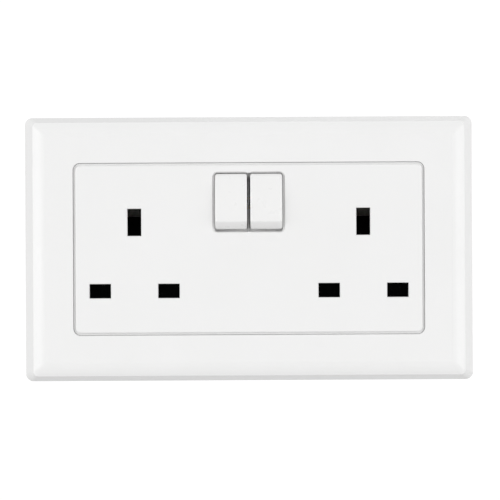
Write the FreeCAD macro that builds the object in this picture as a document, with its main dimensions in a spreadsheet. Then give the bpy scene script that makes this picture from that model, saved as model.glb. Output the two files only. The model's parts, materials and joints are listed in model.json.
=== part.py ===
import FreeCAD, Part
import os
import re
import Sketcher

# Twin switched wall socket outlet: clip-on cover frame, front panel, rear housing, two rockers and
# the contacts, shutters, springs and terminals inside. Millimetres and degrees.
# X runs to the right, Y rearwards into the wall, Z up. The origin is on the wall plane, midway
# between the two fixing holes.

# Driving dimensions: alias, value, meaning
SIZES = (
    ("plate_width", 146.0, "cover frame side to side"),
    ("plate_height", 86.0, "cover frame top to bottom"),
    ("plate_rise", 9.0, "flat face of the cover frame in front of the wall"),
    ("plate_corner", 2.4, "corner radius of the outline on the wall"),
    ("side_rise", 7.4, "top of the steep outer side"),
    ("end_lean", 3.0, "lean of the steep side at the two ends"),
    ("side_lean", 1.9, "lean of the steep side at top and bottom"),
    ("bevel_end", 4.0, "bevel width at the two ends"),
    ("bevel_side", 4.3, "bevel width at top and bottom"),
    ("crown_share", 0.72, "share of the bevel's rise in its outer half"),
    ("crease_corner", 1.5, "corner radius where side and bevel meet"),
    ("face_corner", 0.5, "corner radius where the bevel meets the flat face"),
    ("frame_wall", 2.2, "wall of the cover frame"),
    ("window_gap", 0.8, "gap between the panel and the frame's window"),
    ("skirt_wall", 1.8, "skirt behind the frame's window"),
    ("window_round", 0.3, "rounded edge of the window"),
    ("catch_width", 10.0, "length of a snap catch"),
    ("catch_pitch", 44.0, "spacing of the snap catches"),
    ("catch_depth", 0.85, "thickness of a snap catch"),
    ("catch_bite", 0.8, "overlap of a catch behind the flange lip"),
    ("catch_gap", 0.2, "clearance between a catch and the flange"),
    ("frame_border", 16.9, "cover frame from its ends to the panel"),
    ("panel_height", 54.2, "front panel top to bottom"),
    ("panel_corner", 1.5, "corner radius of the front panel"),
    ("panel_proud", 0.3, "panel face in front of the frame's flat face"),
    ("panel_round", 0.4, "rounded front edge of the panel"),
    ("groove_depth", 0.9, "groove round the panel below the frame's flat face"),
    ("ledge_gap", 0.1, "panel ledge inside the frame's window"),
    ("panel_skin", 2.8, "thickness of the panel face"),
    ("panel_wall", 2.0, "side walls of the panel"),
    ("flange_inset", 6.0, "flange inside the outline of the cover frame"),
    ("flange_thickness", 2.5, "flange thickness"),
    ("flange_corner", 3.0, "flange corner radius"),
    ("lip_thickness", 1.2, "lip that the catches hold"),
    ("fixing_inset", 6.7, "wall fixing holes inside the ends of the flange"),
    ("fixing_hole", 4.0, "diameter of a wall fixing hole"),
    ("fixing_rim", 8.4, "diameter of the raised rim round a fixing hole"),
    ("fixing_rim_rise", 0.8, "height of that rim"),
    ("fixing_notch", 0.4, "room round that rim in the frame's skirt"),
    ("outlet_margin", 4.46, "outer apertures inside the ends of the panel"),
    ("pin_spread", 22.23, "neutral to line pin spacing"),
    ("earth_drop", 22.23, "earth pin to line row spacing"),
    ("earth_height", 8.66, "earth pin above the middle of the plate"),
    ("live_slot_width", 6.95, "line and neutral aperture width"),
    ("live_slot_height", 4.65, "line and neutral aperture height"),
    ("earth_slot_width", 4.5, "earth aperture width"),
    ("earth_slot_height", 8.8, "earth aperture height"),
    ("slot_chamfer", 0.25, "chamfer of the aperture edges"),
    ("pin_thickness", 3.97, "thickness of a plug pin"),
    ("live_pin_length", 17.7, "line pin length"),
    ("earth_pin_length", 22.7, "earth pin length"),
    ("earth_pin_height", 7.92, "earth pin height"),
    ("switch_inset", 12.1, "rocker axis below the top of the panel"),
    ("pivot_depth", 4.5, "rocker axis in front of the wall"),
    ("rocker_width", 10.4, "rocker side to side"),
    ("rocker_length", 18.6, "rocker top to bottom at its axis"),
    ("rocker_gap", 1.0, "gap between the two rockers"),
    ("rocker_side_gap", 0.15, "gap beside a rocker"),
    ("rocker_end_gap", 0.25, "gap above and below a rocker"),
    ("rocker_swing", 12.0, "rocker travel between off and on"),
    ("rocker_reach", 6.1, "ends of the rocker face ahead of its axis"),
    ("rocker_crown", 55.0, "radius of the rocker face"),
    ("rocker_lower_bevel", 2.0, "bevel at the lower end of the face"),
    ("rocker_lower_drop", 3.2, "depth of that bevel"),
    ("rocker_upper_bevel", 0.9, "bevel at the upper end of the face"),
    ("rocker_upper_drop", 0.5, "depth of that bevel"),
    ("rocker_skirt", 2.4, "open rear edge of the rocker ahead of its axis"),
    ("rocker_wall", 1.3, "rocker side walls"),
    ("rocker_skin", 1.6, "rocker face thickness"),
    ("rocker_round", 0.8, "rounded rocker edges"),
    ("rocker_corner_window", 0.9, "corner radius of the rocker window"),
    ("recess_depth", 1.2, "shallow recess round the rockers"),
    ("recess_side", 0.7, "recess beside the rocker window"),
    ("recess_end", 0.35, "recess above and below the rocker window"),
    ("recess_corner", 1.8, "corner radius of the recess"),
    ("recess_share", 0.25, "overlap of the two halves of the recess"),
    ("well_wall", 1.6, "walls of the well behind the rocker window"),
    ("well_floor", 1.2, "ledge of the well ahead of the rocker axis"),
    ("well_ledge", 1.0, "thickness of that ledge"),
    ("well_reach", 0.3, "ledge under the outer sides of the rockers"),
    ("well_end_reach", 1.0, "ledge under the ends of the rockers"),
    ("hub_height", 5.0, "rocker hub round the pivot pin"),
    ("hub_back", 1.9, "hub behind the rocker axis"),
    ("hub_inset", 0.5, "hub ends inside the rocker's sides"),
    ("tube_radius", 2.5, "plunger tube of the rocker"),
    ("tube_reach", 7.5, "end of the plunger tube behind the axis"),
    ("tube_floor", 1.5, "floor of the plunger bore behind the axis"),
    ("pivot_radius", 1.0, "pivot pin"),
    ("pivot_clearance", 0.05, "pivot pin running clearance"),
    ("rib_gap", 0.12, "gap from a rocker to its bearing rib"),
    ("rib_thickness", 1.6, "bearing rib thickness"),
    ("rib_height", 8.0, "bearing rib height"),
    ("rib_back", 2.2, "bearing rib behind the rocker axis"),
    ("plunger_radius", 1.5, "plunger"),
    ("plunger_clearance", 0.1, "plunger in its bore"),
    ("plunger_gap", 0.05, "plunger tip to contact at mid travel"),
    ("plunger_length", 6.4, "plunger length"),
    ("plunger_wire", 0.45, "plunger spring wire"),
    ("plunger_turns", 3.0, "plunger spring turns"),
    ("spring_clearance", 0.1, "springs clear of their seats"),
    ("contact_swing", 25.0, "tilt of the moving contact between off and on"),
    ("contact_arm", 7.0, "contact tip above the contact's axis"),
    ("contact_upper", 8.4, "upper arm of the moving contact"),
    ("contact_lower", 6.0, "lower arm of the moving contact"),
    ("contact_width", 5.4, "moving contact width"),
    ("contact_strip", 0.8, "moving contact thickness"),
    ("ridge_radius", 0.6, "ridge that the moving contact rocks on"),
    ("ridge_gap", 0.03, "moving contact to ridge"),
    ("tip_radius", 1.5, "moving contact tip"),
    ("tip_rise", 0.8, "height of the moving tip's dome"),
    ("fixed_tip_radius", 1.6, "fixed contact tip"),
    ("fixed_tip_rise", 0.6, "height of the fixed contact tip"),
    ("contact_clearance", 0.08, "tips apart when on"),
    ("strip_thickness", 0.8, "contact strip thickness"),
    ("jaw_room", 0.23, "jaws wider than a pin"),
    ("jaw_width", 5.4, "width of a line or neutral jaw"),
    ("jaw_lead", 1.3, "jaws behind the shutter"),
    ("jaw_flare", 0.9, "flare of the jaw lips"),
    ("jaw_lip", 1.3, "length of the jaw lips"),
    ("live_tip_room", 1.4, "room behind a line pin's tip"),
    ("earth_tip_room", 0.2, "room behind an earth pin's tip"),
    ("earth_jaw_height", 5.0, "width of an earth jaw"),
    ("earth_jaw_drop", 1.2, "earth jaws below the middle of the pin"),
    ("earth_jaw_lead", 0.8, "earth jaws behind the shutter ramp"),
    ("run_width", 5.5, "line strips across the top"),
    ("run_margin", 0.8, "line strips below the housing wall"),
    ("run_end", 3.0, "line strips end beside the middle"),
    ("neutral_width", 5.0, "neutral bar width"),
    ("neutral_margin", 1.8, "neutral bar above the housing wall"),
    ("earth_width", 5.0, "earth bar width"),
    ("earth_clear", 1.4, "earth bar above the lower screw bosses"),
    ("feed_thickness", 1.0, "line feed bar thickness"),
    ("feed_width", 4.0, "line feed bar under the moving contacts"),
    ("feed_overhang", 0.6, "feed bar past the moving contacts"),
    ("tab_width", 3.6, "conductor tabs on the terminals"),
    ("terminal_pitch", 11.0, "terminal spacing"),
    ("terminal_width", 7.0, "terminal block width"),
    ("terminal_length", 8.5, "terminal block height"),
    ("terminal_depth", 7.2, "terminal block depth"),
    ("terminal_clear", 1.0, "terminals above the neutral bar"),
    ("terminal_edge", 0.4, "chamfer of a terminal block"),
    ("wire_hole", 4.5, "wire entry diameter"),
    ("clamp_radius", 1.9, "terminal screw shank"),
    ("clamp_clearance", 0.05, "terminal screw in its thread"),
    ("clamp_tip", 0.05, "terminal screw backed off from the wire hole"),
    ("clamp_head", 3.0, "terminal screw head radius"),
    ("clamp_head_rise", 1.8, "terminal screw head height"),
    ("clamp_head_gap", 0.2, "terminal screw head above its block"),
    ("drive_width", 0.9, "screwdriver slot width"),
    ("drive_depth", 0.8, "screwdriver slot depth"),
    ("bay_clearance", 0.15, "terminal block in its bay"),
    ("bay_wall", 1.2, "walls round the terminal bays"),
    ("housing_gap", 0.2, "housing inside the panel's side walls"),
    ("housing_wall", 1.8, "housing side walls"),
    ("housing_back", 2.0, "housing rear wall"),
    ("housing_floor", 1.6, "room behind the earth bar"),
    ("housing_corner", 2.5, "housing corner radius"),
    ("housing_edge", 1.0, "chamfer round the housing's rear"),
    ("boss_radius", 2.6, "screw bosses and posts"),
    ("boss_gap", 0.5, "bosses beside the line strips"),
    ("boss_rise", 3.15, "upper bosses above the earth jaws"),
    ("boss_space", 0.4, "lower bosses beside the terminals"),
    ("screw_radius", 1.45, "housing screw"),
    ("screw_clearance", 0.05, "housing screw in its hole"),
    ("screw_grip", 5.0, "housing screw inside the panel boss"),
    ("screw_head", 2.4, "housing screw head radius"),
    ("screw_head_rise", 1.6, "housing screw head height"),
    ("screw_sink", 0.2, "screw heads below the rear face"),
    ("head_clearance", 0.2, "room round a screw head"),
    ("post_width", 3.6, "support posts under the conductors"),
    ("post_height", 5.0, "height of a support post"),
    ("shutter_gap", 0.2, "shutter behind the panel"),
    ("shutter_thickness", 3.0, "shutter plate"),
    ("shutter_cover_top", 0.9, "shutter above the line apertures"),
    ("shutter_cover_low", 1.3, "shutter below the line apertures"),
    ("shutter_cover_end", 0.95, "shutter beside the line apertures"),
    ("shutter_clear", 0.45, "shutter past the apertures when open"),
    ("shutter_stem", 5.8, "shutter stem width"),
    ("ramp_width", 5.0, "shutter ramp width"),
    ("ramp_depth", 6.5, "shutter ramp front to back"),
    ("ramp_base", 3.6, "thickness of the ramp's foot"),
    ("ramp_clear", 0.2, "ramp below the earth pin when open"),
    ("shutter_round", 0.6, "rounded shutter corners"),
    ("guide_gap", 0.25, "shutter stem to its guides"),
    ("guide_thickness", 1.2, "shutter guides"),
    ("guide_rise", 3.2, "height of the shutter guides"),
    ("guide_stop", 0.1, "shutter wings below their stops"),
    ("slot_width", 3.4, "spring slot in the shutter"),
    ("slot_top", 2.3, "spring slot above the shutter wings"),
    ("shutter_spring", 2.8, "shutter spring outside diameter"),
    ("shutter_wire", 0.45, "shutter spring wire"),
    ("shutter_turns", 7.0, "shutter spring turns"),
)

document = FreeCAD.newDocument("TwinSocketOutlet")
sheet = document.addObject("Spreadsheet::Sheet", "Sizes")
for row, (alias, size, meaning) in enumerate(SIZES, start=1):
    sheet.set(f"A{row}", meaning)
    sheet.set(f"B{row}", str(size))
    sheet.setAlias(f"B{row}", alias)
document.recompute()

ALIASES = {alias for alias, size, meaning in SIZES}
SIDES = (("left", -1), ("right", 1))
NODES = []


# Depths along Y
PANEL_FACE = "(-(plate_rise + panel_proud))"
PANEL_BACK = f"({PANEL_FACE} + panel_skin)"
FRAME_UNDERSIDE = "(frame_wall - plate_rise)"
SHUTTER_FRONT = f"({PANEL_BACK} + shutter_gap)"
SHUTTER_BACK = f"({SHUTTER_FRONT} + shutter_thickness)"
RAMP_BACK = f"({SHUTTER_FRONT} + ramp_depth)"
JAW_FRONT = f"({SHUTTER_BACK} + jaw_lead)"
EARTH_JAW_FRONT = f"({RAMP_BACK} + earth_jaw_lead)"
LINE_FRONT = f"({PANEL_FACE} + live_pin_length + live_tip_room)"
LINE_BACK = f"({LINE_FRONT} + strip_thickness)"
EARTH_FRONT = f"({PANEL_FACE} + earth_pin_length + earth_tip_room)"
EARTH_BACK = f"({EARTH_FRONT} + strip_thickness)"
REAR_WALL = f"({EARTH_BACK} + housing_floor)"
HOUSING_REAR = f"({REAR_WALL} + housing_back)"

# Moving contact: the domed tip just clears the fixed tip when on, which sets the contact's axis
CONTACT_SEAT = "(ridge_radius + ridge_gap)"
DOME_RADIUS = "((tip_radius ^ 2 + tip_rise ^ 2) / (2 * tip_rise))"
DOME_CENTRE = f"(tip_rise - {CONTACT_SEAT} - {DOME_RADIUS})"
CONTACT_AXIS = (f"({LINE_FRONT} - fixed_tip_rise - contact_clearance - {DOME_RADIUS}"
                f" - {DOME_CENTRE} * cos(contact_swing / 2) - contact_arm * sin(contact_swing / 2))")
FEED_BACK = f"({CONTACT_AXIS} + feed_thickness)"
PLUNGER_END = f"({CONTACT_AXIS} + pivot_depth - {CONTACT_SEAT} - contact_strip - plunger_gap)"
CLAMP_BACK = f"({FEED_BACK} + terminal_depth)"
WIRE_DEPTH = f"({FEED_BACK} + terminal_depth / 2)"

# Places across the plate
PANEL_WIDTH = "(plate_width - 2 * frame_border)"
FLANGE_WIDTH = "(plate_width - 2 * flange_inset)"
FLANGE_HEIGHT = "(plate_height - 2 * flange_inset)"
FIXING_X = f"({FLANGE_WIDTH} / 2 - fixing_inset)"
OUTLET_X = f"(({PANEL_WIDTH} - live_slot_width - pin_spread) / 2 - outlet_margin)"
LIVE_Z = "(earth_height - earth_drop)"
JAW_HALF = "((pin_thickness + jaw_room) / 2)"
JAW_OUTER = f"({JAW_HALF} + strip_thickness)"
HOUSING_WIDTH = f"({PANEL_WIDTH} - 2 * panel_wall - 2 * housing_gap)"
HOUSING_HEIGHT = "panel_height"
INNER_HALF = f"({HOUSING_HEIGHT} / 2 - housing_wall)"
RUN_TOP = f"({INNER_HALF} - run_margin)"
RUN_BOTTOM = f"({RUN_TOP} - run_width)"
NEUTRAL_BOTTOM = f"(neutral_margin - {INNER_HALF})"
NEUTRAL_TOP = f"({NEUTRAL_BOTTOM} + neutral_width)"
TERMINAL_BOTTOM = f"({NEUTRAL_TOP} + terminal_clear)"
TERMINAL_TOP = f"({TERMINAL_BOTTOM} + terminal_length)"
TERMINAL_MID = f"({TERMINAL_BOTTOM} + terminal_length / 2)"
EARTH_JAW_TOP = "(earth_height - earth_jaw_drop + earth_jaw_height / 2)"
EARTH_JAW_BOTTOM = "(earth_height - earth_jaw_drop - earth_jaw_height / 2)"
UPPER_BOSS_X = f"({OUTLET_X} - pin_spread / 2 + jaw_width / 2 + boss_gap + boss_radius)"
UPPER_BOSS_Z = f"({EARTH_JAW_TOP} + boss_rise + boss_radius)"
LOWER_BOSS_X = "(terminal_pitch + tab_width / 2 + boss_space + boss_radius)"
LOWER_BOSS_Z = f"({TERMINAL_TOP} + boss_space + boss_radius)"
EARTH_BAR_BOTTOM = f"({LOWER_BOSS_Z} + boss_radius + earth_clear)"
EARTH_BAR_TOP = f"({EARTH_BAR_BOTTOM} + earth_width)"
ROCKER_X = "(rocker_gap / 2 + rocker_width / 2)"
WINDOW_WIDTH = "(2 * rocker_width + rocker_gap + 2 * rocker_side_gap)"
WINDOW_HEIGHT = "(rocker_length + 2 * rocker_end_gap)"
SWITCH_Z = "(panel_height / 2 - switch_inset)"
CONTACT_TIP_Z = f"({SWITCH_Z} + contact_arm * cos(contact_swing / 2))"
BOSSES = tuple((f"({sign} * {x})", z) for name, sign in SIDES
               for x, z in ((UPPER_BOSS_X, UPPER_BOSS_Z), (LOWER_BOSS_X, LOWER_BOSS_Z)))
TERMINALS = (("neutral", -1), ("earth", 0), ("line", 1))

# Shutter places for an outlet
SHUTTER_STROKE = "(live_slot_height + shutter_cover_top + shutter_clear)"
WING_TOP = f"({LIVE_Z} + live_slot_height / 2 + shutter_cover_top)"
WING_BOTTOM = f"({LIVE_Z} - live_slot_height / 2 - shutter_cover_low)"
WING_HALF = "(pin_spread / 2 + live_slot_width / 2 + shutter_cover_end)"
SLOT_TOP = f"({WING_TOP} + slot_top)"
RAMP_TOP = f"(earth_height - earth_pin_height / 2 + {SHUTTER_STROKE} - ramp_clear)"
RAMP_FOOT = f"({RAMP_TOP} - ramp_depth)"
STEM_TOP = f"({RAMP_FOOT} - shutter_round)"
SPRING_SEAT = "(panel_wall - panel_height / 2)"


# Formulas: every word that is an alias is read from the sheet
def qualified(formula):
    return re.sub(r"[a-z][a-z_]+", lambda word: f"Sizes.{word[0]}" if word[0] in ALIASES else word[0],
                  str(formula))


def bind(item, name, formula):
    item.setExpression(name, qualified(formula))


def value(formula):
    return float(sheet.evalExpression(qualified(formula)))


def outlet(sign):
    return f"({sign} * {OUTLET_X})"


# Bodies, sketches and features
def new_body(label):
    body = document.addObject("PartDesign::Body", label)
    body.Label = label
    NODES.append(body)
    return body


PLANE_NORMAL = {"XY_Plane": 1, "XZ_Plane": -1, "YZ_Plane": 1}


def new_sketch(body, name, plane, depth):
    sketch = body.newObject("Sketcher::SketchObject", name)
    origin_plane = [item for item in body.Origin.OriginFeatures if item.Role == plane][0]
    sketch.AttachmentSupport = [(origin_plane, "")]
    sketch.MapMode = "FlatFace"
    bind(sketch, "AttachmentOffset.Base.z", f"{PLANE_NORMAL[plane]} * ({depth})")
    return sketch


def fix_point(sketch, geometry, position, across, up):
    for kind, formula in (("DistanceX", across), ("DistanceY", up)):
        number = sketch.addConstraint(
            Sketcher.Constraint(kind, -1, 1, geometry, position, value(formula)))
        bind(sketch, f"Constraints[{number}]", formula)


def arc_between(start, end, radius):
    middle = (start + end) * 0.5
    chord = end - start
    across = FreeCAD.Vector(-chord.y, chord.x, 0).normalize()
    centre = middle + across * (radius ** 2 - (chord.Length / 2) ** 2) ** 0.5
    circle = Part.Circle(centre, FreeCAD.Vector(0, 0, 1), radius)
    return Part.ArcOfCircle(circle, circle.parameter(start), circle.parameter(end))


def draw_outline(sketch, points):
    """Closed outline, counter-clockwise. A third entry is the radius of the arc to the next point."""
    corners = [FreeCAD.Vector(value(point[0]), value(point[1]), 0) for point in points]
    first = sketch.GeometryCount
    count = len(points)
    for index, point in enumerate(points):
        start = corners[index]
        end = corners[(index + 1) % count]
        if len(point) == 3:
            edge = arc_between(start, end, value(point[2]))
        else:
            edge = Part.LineSegment(start, end)
        sketch.addGeometry(edge, False)
    for index in range(count):
        following = first + (index + 1) % count
        sketch.addConstraint(Sketcher.Constraint("Coincident", first + index, 2, following, 1))
    for index, point in enumerate(points):
        fix_point(sketch, first + index, 1, point[0], point[1])
        if len(point) == 3:
            number = sketch.addConstraint(
                Sketcher.Constraint("Radius", first + index, value(point[2])))
            bind(sketch, f"Constraints[{number}]", point[2])


def draw_circle(sketch, across, up, radius):
    centre = FreeCAD.Vector(value(across), value(up), 0)
    geometry = sketch.addGeometry(Part.Circle(centre, FreeCAD.Vector(0, 0, 1), value(radius)), False)
    fix_point(sketch, geometry, 3, across, up)
    number = sketch.addConstraint(Sketcher.Constraint("Radius", geometry, value(radius)))
    bind(sketch, f"Constraints[{number}]", radius)


def rectangle(left, right, bottom, top):
    return [(left, bottom), (right, bottom), (right, top), (left, top)]


def centred(width, height, across="0", up="0"):
    return rectangle(f"({across}) - ({width}) / 2", f"({across}) + ({width}) / 2",
                     f"({up}) - ({height}) / 2", f"({up}) + ({height}) / 2")


def rounded(width, height, radius, across="0", up="0"):
    left = f"(({across}) - ({width}) / 2)"
    right = f"(({across}) + ({width}) / 2)"
    bottom = f"(({up}) - ({height}) / 2)"
    top = f"(({up}) + ({height}) / 2)"
    return [(f"{left} + {radius}", bottom), (f"{right} - {radius}", bottom, radius),
            (right, f"{bottom} + {radius}"), (right, f"{top} - {radius}", radius),
            (f"{right} - {radius}", top), (f"{left} + {radius}", top, radius),
            (left, f"{top} - {radius}"), (left, f"{bottom} + {radius}", radius)]


def outline_sketch(body, name, plane, depth, *outlines):
    sketch = new_sketch(body, name, plane, depth)
    for points in outlines:
        draw_outline(sketch, points)
    return sketch


def circle_sketch(body, name, plane, depth, circles):
    sketch = new_sketch(body, name, plane, depth)
    for across, up, radius in circles:
        draw_circle(sketch, across, up, radius)
    return sketch


def pad(body, sketch, length, turned=False):
    feature = body.newObject("PartDesign::Pad", f"{sketch.Name}_pad")
    feature.Profile = sketch
    feature.Reversed = turned
    bind(feature, "Length", length)
    return feature


def pocket(body, sketch, length, turned=False):
    before = body.Tip
    feature = body.newObject("PartDesign::Pocket", f"{sketch.Name}_pocket")
    feature.Profile = sketch
    feature.Reversed = turned
    bind(feature, "Length", length)
    document.recompute()
    if feature.Shape.Volume >= before.Shape.Volume:
        raise RuntimeError(f"{body.Label}: {sketch.Name} cuts nothing")
    return feature


def loft(body, kind, name, sketches, ruled):
    feature = body.newObject(f"PartDesign::{kind}Loft", name)
    feature.Profile = sketches[0]
    feature.Sections = sketches[1:]
    feature.Ruled = ruled
    return feature


def dress(body, kind, name, size, chosen):
    """Fillet or Chamfer on the edges that the function chosen picks."""
    document.recompute()
    base = body.Tip
    names = [f"Edge{number}" for number, edge in enumerate(base.Shape.Edges, start=1) if chosen(edge)]
    if not names:
        raise RuntimeError(f"{body.Label}: {name} finds no edge")
    feature = body.newObject(f"PartDesign::{kind}", name)
    feature.Base = (base, names)
    bind(feature, "Radius" if kind == "Fillet" else "Size", size)
    return feature


def place(item, across="0", depth="0", up="0"):
    for axis, formula in zip("xyz", (across, depth, up)):
        bind(item, f"Placement.Base.{axis}", formula)


def tilt(item, angle):
    item.Placement = FreeCAD.Placement(FreeCAD.Vector(), FreeCAD.Rotation(FreeCAD.Vector(1, 0, 0), 1))
    bind(item, "Placement.Rotation.Angle", angle)


# Edge tests
TOUCH = 1e-4


def near(number, formula):
    return abs(number - value(formula)) < TOUCH


def at_depth(edge, formula):
    return near(edge.BoundBox.YMin, formula) and near(edge.BoundBox.YMax, formula)


def within(edge, width, height, up="0"):
    """The edge lies inside a window of that size."""
    box = edge.BoundBox
    middle = value(up)
    half_width = value(width) / 2 + TOUCH
    half_height = value(height) / 2 + TOUCH
    return (box.XMin > -half_width and box.XMax < half_width
            and box.ZMin > middle - half_height and box.ZMax < middle + half_height)


def runs_along(edge, axis):
    box = edge.BoundBox
    lengths = {"x": box.XLength, "y": box.YLength, "z": box.ZLength}
    others = [length for name, length in lengths.items() if name != axis]
    return lengths[axis] > TOUCH and max(others) < TOUCH


# Cover frame: steep sides, a crowned bevel with mitred corners and a flat face round the window
def make_cover_frame():
    body = new_body("cover_frame")
    crease_width = "(plate_width - 2 * end_lean)"
    crease_height = "(plate_height - 2 * side_lean)"
    face_width = f"({crease_width} - 2 * bevel_end)"
    face_height = f"({crease_height} - 2 * bevel_side)"
    crown_rise = "(side_rise + crown_share * (plate_rise - side_rise))"
    wall_line = outline_sketch(body, "wall_line", "XZ_Plane", "0",
                               rounded("plate_width", "plate_height", "plate_corner"))
    crease = outline_sketch(body, "crease", "XZ_Plane", "-side_rise",
                            rounded(crease_width, crease_height, "crease_corner"))
    loft(body, "Additive", "steep_sides", [wall_line, crease], True)
    bevel_foot = outline_sketch(body, "bevel_foot", "XZ_Plane", "-side_rise",
                                rounded(crease_width, crease_height, "crease_corner"))
    bevel_crown = outline_sketch(body, "bevel_crown", "XZ_Plane", f"-{crown_rise}",
                                 rounded(f"({crease_width} - bevel_end)",
                                         f"({crease_height} - bevel_side)",
                                         "((crease_corner + face_corner) / 2)"))
    bevel_top = outline_sketch(body, "bevel_top", "XZ_Plane", "-plate_rise",
                               rounded(face_width, face_height, "face_corner"))
    loft(body, "Additive", "crowned_bevel", [bevel_foot, bevel_crown, bevel_top], False)
    rim = outline_sketch(body, "rim", "XZ_Plane", "0",
                         rounded("(plate_width - 2 * frame_wall)", "(plate_height - 2 * frame_wall)",
                                 "crease_corner"))
    underside = outline_sketch(body, "underside", "XZ_Plane", FRAME_UNDERSIDE,
                               rounded(face_width, face_height, "face_corner"))
    loft(body, "Subtractive", "hollow", [rim, underside], True)
    window_width = f"({PANEL_WIDTH} + 2 * window_gap)"
    window_height = "(panel_height + 2 * window_gap)"
    skirt = outline_sketch(body, "skirt", "XZ_Plane", "-flange_thickness",
                           rounded(f"({window_width} + 2 * skirt_wall)",
                                   f"({window_height} + 2 * skirt_wall)",
                                   "(panel_corner + window_gap + skirt_wall)"))
    pad(body, skirt, "plate_rise - flange_thickness - frame_wall / 2")
    notches = circle_sketch(body, "fixing_notches", "XZ_Plane", "-flange_thickness",
                            [(f"{sign} * {FIXING_X}", "0", "fixing_rim / 2 + fixing_notch")
                             for name, sign in SIDES])
    pocket(body, notches, "plate_rise - frame_wall - flange_thickness", turned=True)
    window = outline_sketch(body, "window", "XZ_Plane", "-plate_rise",
                            rounded(window_width, window_height, "(panel_corner + window_gap)"))
    pocket(body, window, "plate_rise")
    dress(body, "Fillet", "window_edge", "window_round",
          lambda edge: at_depth(edge, "-plate_rise") and within(edge, window_width, window_height))
    for place_name, across in (("first", "-catch_pitch"), ("middle", "0"), ("last", "catch_pitch")):
        for edge_name, sign in (("lower", -1), ("upper", 1)):
            catch = outline_sketch(body, f"catch_{edge_name}_{place_name}", "YZ_Plane",
                                   f"{across} - catch_width / 2", catch_outline(sign))
            pad(body, catch, "catch_width")


# Side view of a snap catch that grips behind the flange lip
def catch_outline(sign):
    front = "(lip_thickness + catch_gap - flange_thickness)"
    nose = f"({FLANGE_HEIGHT} / 2 - catch_bite)"
    lead = f"({nose} + catch_depth)"
    root = "(plate_height / 2 - frame_wall / 2)"
    back = f"({front} + catch_depth)"
    points = [(front, nose), (back, lead), (back, root), (front, root)]
    if sign < 0:
        return [(depth, f"-{height}") for depth, height in reversed(points)]
    return points


# Front panel: face with six apertures and the rocker window, side walls, flange and inner bosses
def make_front_panel():
    body = new_body("front_panel")
    flange = outline_sketch(body, "flange", "XZ_Plane", "0",
                            rounded(FLANGE_WIDTH, FLANGE_HEIGHT, "flange_corner"))
    pad(body, flange, "flange_thickness")
    ledge = "(window_gap - ledge_gap)"
    block = outline_sketch(body, "block", "XZ_Plane", "0",
                           rounded(f"({PANEL_WIDTH} + 2 * {ledge})", f"(panel_height + 2 * {ledge})",
                                   f"(panel_corner + {ledge})"))
    pad(body, block, "plate_rise - groove_depth")
    face = outline_sketch(body, "face", "XZ_Plane", "0",
                          rounded(PANEL_WIDTH, "panel_height", "panel_corner"))
    pad(body, face, "plate_rise + panel_proud")
    dress(body, "Fillet", "face_edge", "panel_round", lambda edge: at_depth(edge, PANEL_FACE))
    cavity = outline_sketch(body, "cavity", "XZ_Plane", "0",
                            centred(f"{PANEL_WIDTH} - 2 * panel_wall", "panel_height - 2 * panel_wall"))
    pocket(body, cavity, f"-{PANEL_BACK}", turned=True)
    cut_apertures(body)
    add_rocker_well(body)
    add_bearing_ribs(body)
    add_shutter_guides(body)
    bosses = circle_sketch(body, "bosses", "XZ_Plane", "0",
                           [(across, up, "boss_radius") for across, up in BOSSES])
    pad(body, bosses, f"-{PANEL_BACK}")
    pilots = circle_sketch(body, "pilots", "XZ_Plane", "0",
                           [(across, up, "screw_radius + screw_clearance") for across, up in BOSSES])
    pocket(body, pilots, "screw_grip + head_clearance", turned=True)
    rims = circle_sketch(body, "fixing_rims", "XZ_Plane", "-flange_thickness",
                         [(f"{sign} * {FIXING_X}", "0", "fixing_rim / 2") for name, sign in SIDES])
    pad(body, rims, "fixing_rim_rise")
    holes = circle_sketch(body, "fixing_holes", "XZ_Plane", "-flange_thickness - fixing_rim_rise",
                          [(f"{sign} * {FIXING_X}", "0", "fixing_hole / 2")
                           for name, sign in SIDES])
    pocket(body, holes, "flange_thickness + fixing_rim_rise")
    rebate = "(catch_bite + catch_gap)"
    notches = []
    for across in ("-catch_pitch", "0", "catch_pitch"):
        for sign in (-1, 1):
            notches.append(centred("catch_width + 2 * catch_gap", f"2 * {rebate}", across,
                                   f"{sign} * {FLANGE_HEIGHT} / 2"))
    rebates = outline_sketch(body, "lip_rebates", "XZ_Plane", "0", *notches)
    pocket(body, rebates, "flange_thickness - lip_thickness", turned=True)


# Six pin apertures with chamfered edges
def cut_apertures(body):
    outlines = []
    for name, sign in SIDES:
        for pin in (-1, 1):
            outlines.append(centred("live_slot_width", "live_slot_height",
                                    f"{outlet(sign)} + {pin} * pin_spread / 2", LIVE_Z))
        outlines.append(centred("earth_slot_width", "earth_slot_height", outlet(sign), "earth_height"))
    apertures = outline_sketch(body, "apertures", "XZ_Plane", PANEL_FACE, *outlines)
    pocket(body, apertures, "panel_skin")
    dress(body, "Chamfer", "aperture_edges", "slot_chamfer",
          lambda edge: at_depth(edge, PANEL_FACE)
          and within(edge, f"2 * {OUTLET_X} + pin_spread + 2 * live_slot_width",
                     f"2 * (earth_height - {LIVE_Z})"))


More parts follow.
